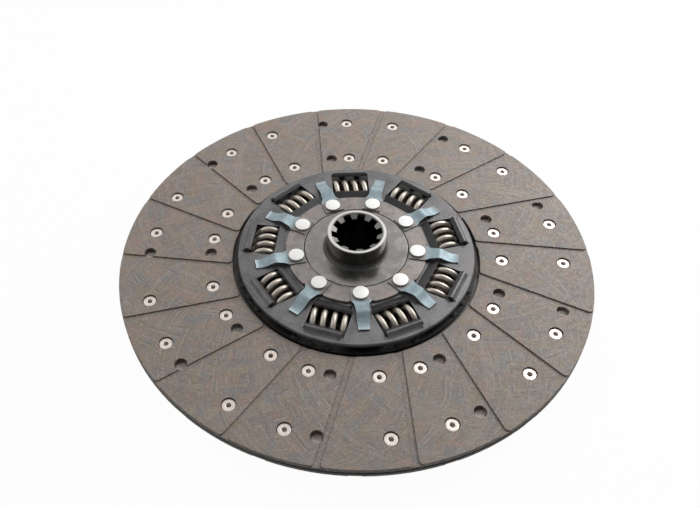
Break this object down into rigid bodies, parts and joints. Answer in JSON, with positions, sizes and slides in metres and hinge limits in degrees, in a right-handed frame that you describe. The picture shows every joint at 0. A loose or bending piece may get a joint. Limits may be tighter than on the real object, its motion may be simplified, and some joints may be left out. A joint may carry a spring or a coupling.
{
  "type": "clutch disc",
  "caption": "Dry clutch disc: grooved friction facings on waved segments, and a splined hub with a spring damper.",
  "frame": {"origin": "on the disc's axis, in the middle plane between the two friction facings", "axes": "+Z along the axis, out of the longer end of the hub; +X and +Y in the plane of the disc"},
  "size_m": [0.42, 0.42, 0.06],
  "materials": {
    "hub_steel": "satin, machined",
    "cover_steel": "matt, phosphated dark grey",
    "ring_steel": "satin, brownish grey",
    "zinc_steel": "satin, blue zinc plated",
    "rivet_steel": "satin, bright",
    "spring_steel": "satin, brownish grey",
    "drive_steel": "matt, near black",
    "friction_ring": "matt",
    "segment_steel": "satin, blued",
    "segment_rivet_steel": "satin, dark",
    "facing_rivet_metal": "satin, pale pinkish",
    "facing": "matt, woven and pressed, brownish grey"
  },
  "bodies": {
    "hub_body": {"hub": "hub_steel", "cover_plate_front": "cover_steel", "cover_plate_rear": "cover_steel", "clamp_ring_front": "ring_steel", "clamp_ring_rear": "ring_steel", "leaf_finger_front_1": "zinc_steel", "leaf_finger_front_2": "zinc_steel", "leaf_finger_front_3": "zinc_steel", "leaf_finger_front_4": "zinc_steel", "leaf_finger_front_5": "zinc_steel", "leaf_finger_front_6": "zinc_steel", "leaf_finger_front_7": "zinc_steel", "leaf_finger_front_8": "zinc_steel", "leaf_finger_front_9": "zinc_steel", "leaf_finger_rear_1": "zinc_steel", "leaf_finger_rear_2": "zinc_steel", "leaf_finger_rear_3": "zinc_steel", "leaf_finger_rear_4": "zinc_steel", "leaf_finger_rear_5": "zinc_steel", "leaf_finger_rear_6": "zinc_steel", "leaf_finger_rear_7": "zinc_steel", "leaf_finger_rear_8": "zinc_steel", "leaf_finger_rear_9": "zinc_steel", "hub_rivets": "rivet_steel", "damper_spring_1": "spring_steel", "damper_spring_2": "spring_steel", "damper_spring_3": "spring_steel", "damper_spring_4": "spring_steel", "damper_spring_5": "spring_steel", "damper_spring_6": "spring_steel", "damper_spring_7": "spring_steel", "damper_spring_8": "spring_steel", "damper_spring_9": "spring_steel"},
    "disc_body": {"drive_plate_front": "drive_steel", "drive_plate_rear": "drive_steel", "friction_ring_front": "friction_ring", "friction_ring_rear": "friction_ring", "cushion_segment_1": "segment_steel", "cushion_segment_2": "segment_steel", "cushion_segment_3": "segment_steel", "cushion_segment_4": "segment_steel", "cushion_segment_5": "segment_steel", "cushion_segment_6": "segment_steel", "cushion_segment_7": "segment_steel", "cushion_segment_8": "segment_steel", "cushion_segment_9": "segment_steel", "segment_rivets": "segment_rivet_steel", "facing_front": "facing", "facing_rear": "facing", "facing_rivets_through": "facing_rivet_metal", "facing_rivets_front": "facing_rivet_metal", "facing_rivets_rear": "facing_rivet_metal"}
  },
  "joints": [
    {"name": "damper_twist", "type": "hinge", "parent": "hub_body", "child": "disc_body", "pos_m": [0, 0, 0], "axis": [0, 0, 1], "range_deg": [-5, 5], "stiffness_Nm_per_rad": 12000, "deforming": ["damper_spring_1", "damper_spring_2", "damper_spring_3", "damper_spring_4", "damper_spring_5", "damper_spring_6", "damper_spring_7", "damper_spring_8", "damper_spring_9"]}
  ]
}
